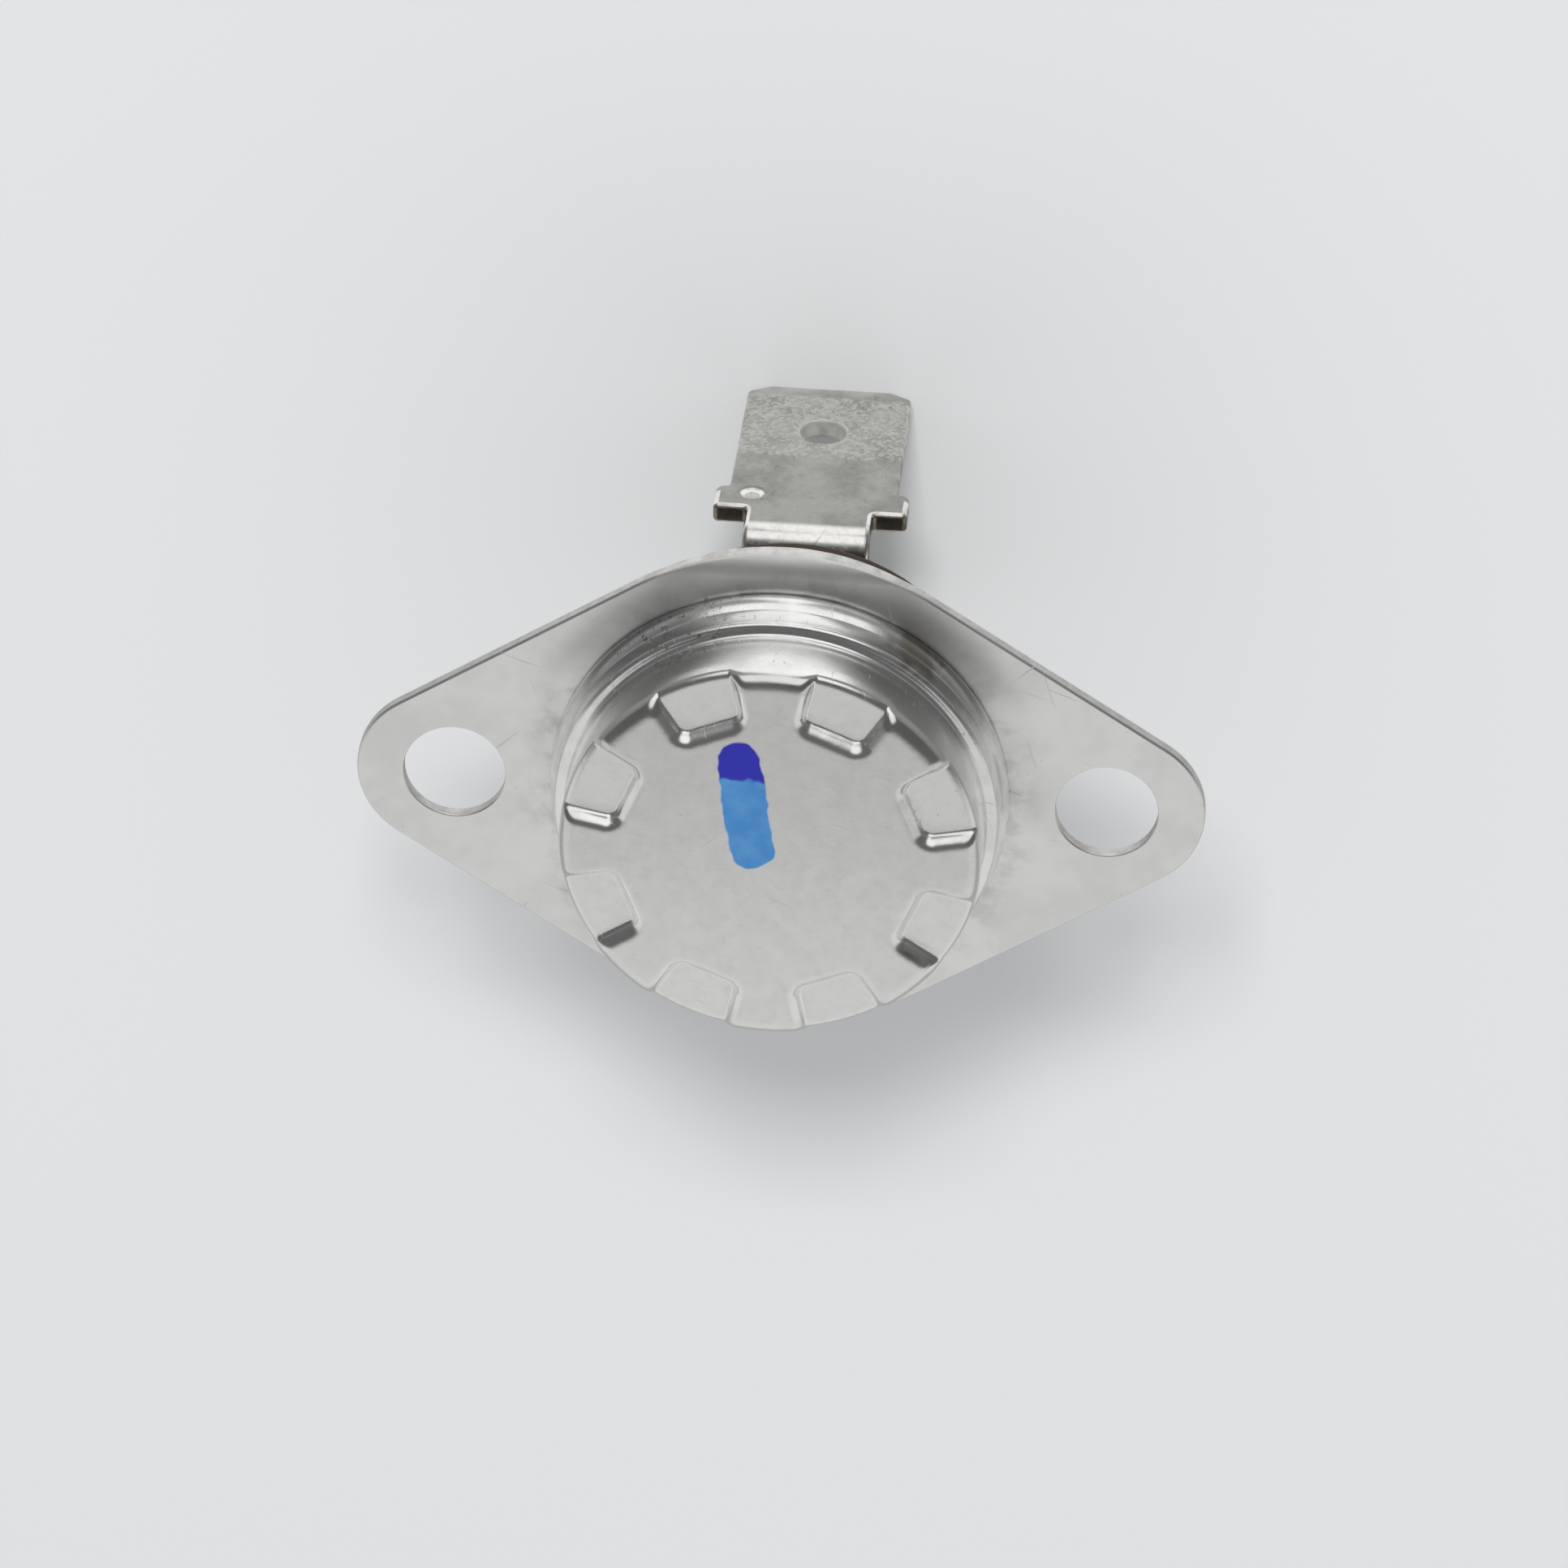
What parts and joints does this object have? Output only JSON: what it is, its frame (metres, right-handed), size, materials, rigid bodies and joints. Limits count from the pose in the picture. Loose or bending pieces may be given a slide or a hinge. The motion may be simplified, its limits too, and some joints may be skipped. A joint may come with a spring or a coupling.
{
  "type": "bimetal thermostat",
  "caption": "Snap-action disc thermostat with a dented metal sensing cap, a flat rhombus mounting bracket clamped between two beads, and folded tab terminals.",
  "frame": {"origin": "centre of the sensing face", "axes": "+Z out of the sensing face, X along the bracket through its two screw holes, +Y from the lower terminal to the upper one"},
  "size_m": [0.0312, 0.0196, 0.0262],
  "materials": {
    "cap_plating": "bright drawn and plated steel, finely scuffed",
    "bracket_plating": "satin plated sheet steel",
    "tinned_tab": "mottled tin plating on brass",
    "bimetal": "rolled bimetal, satin",
    "phenolic": "dark moulded phenolic",
    "steatite": "unglazed pressed ceramic",
    "brass": "bare brass",
    "spring_copper": "rolled spring copper alloy",
    "silver": "silver contact metal, satin"
  },
  "bodies": {
    "housing": {"sensing_cap": "cap_plating", "mounting_bracket": "bracket_plating", "switch_body": "phenolic", "terminal_upper": "tinned_tab", "terminal_lower": "tinned_tab", "bimetal_disc": "bimetal", "guide_plate": "phenolic", "fixed_contact": "silver", "fixed_contact_strip": "brass", "arm_support": "brass", "terminal_rivet_upper": "brass", "terminal_rivet_lower": "brass"},
    "striker": {"striker_pin": "steatite"},
    "arm": {"contact_arm": "spring_copper", "moving_contact": "silver"}
  },
  "joints": [
    {"name": "striker_slide", "type": "slide", "parent": "housing", "child": "striker", "axis": [0, 0, -1], "range_m": [0, 0.0004], "deforming": ["bimetal_disc"]},
    {"name": "contact_arm_hinge", "type": "hinge", "parent": "housing", "child": "arm", "pos_m": [0, 0.0038, -0.0079], "axis": [1, 0, 0], "range_deg": [0, 6.1], "stiffness_Nm_per_rad": 0.01, "springref_deg": -5.73}
  ],
  "couplings": [
    {"joint": "contact_arm_hinge", "follows": "striker_slide", "rad_per_m": 263.16}
  ]
}
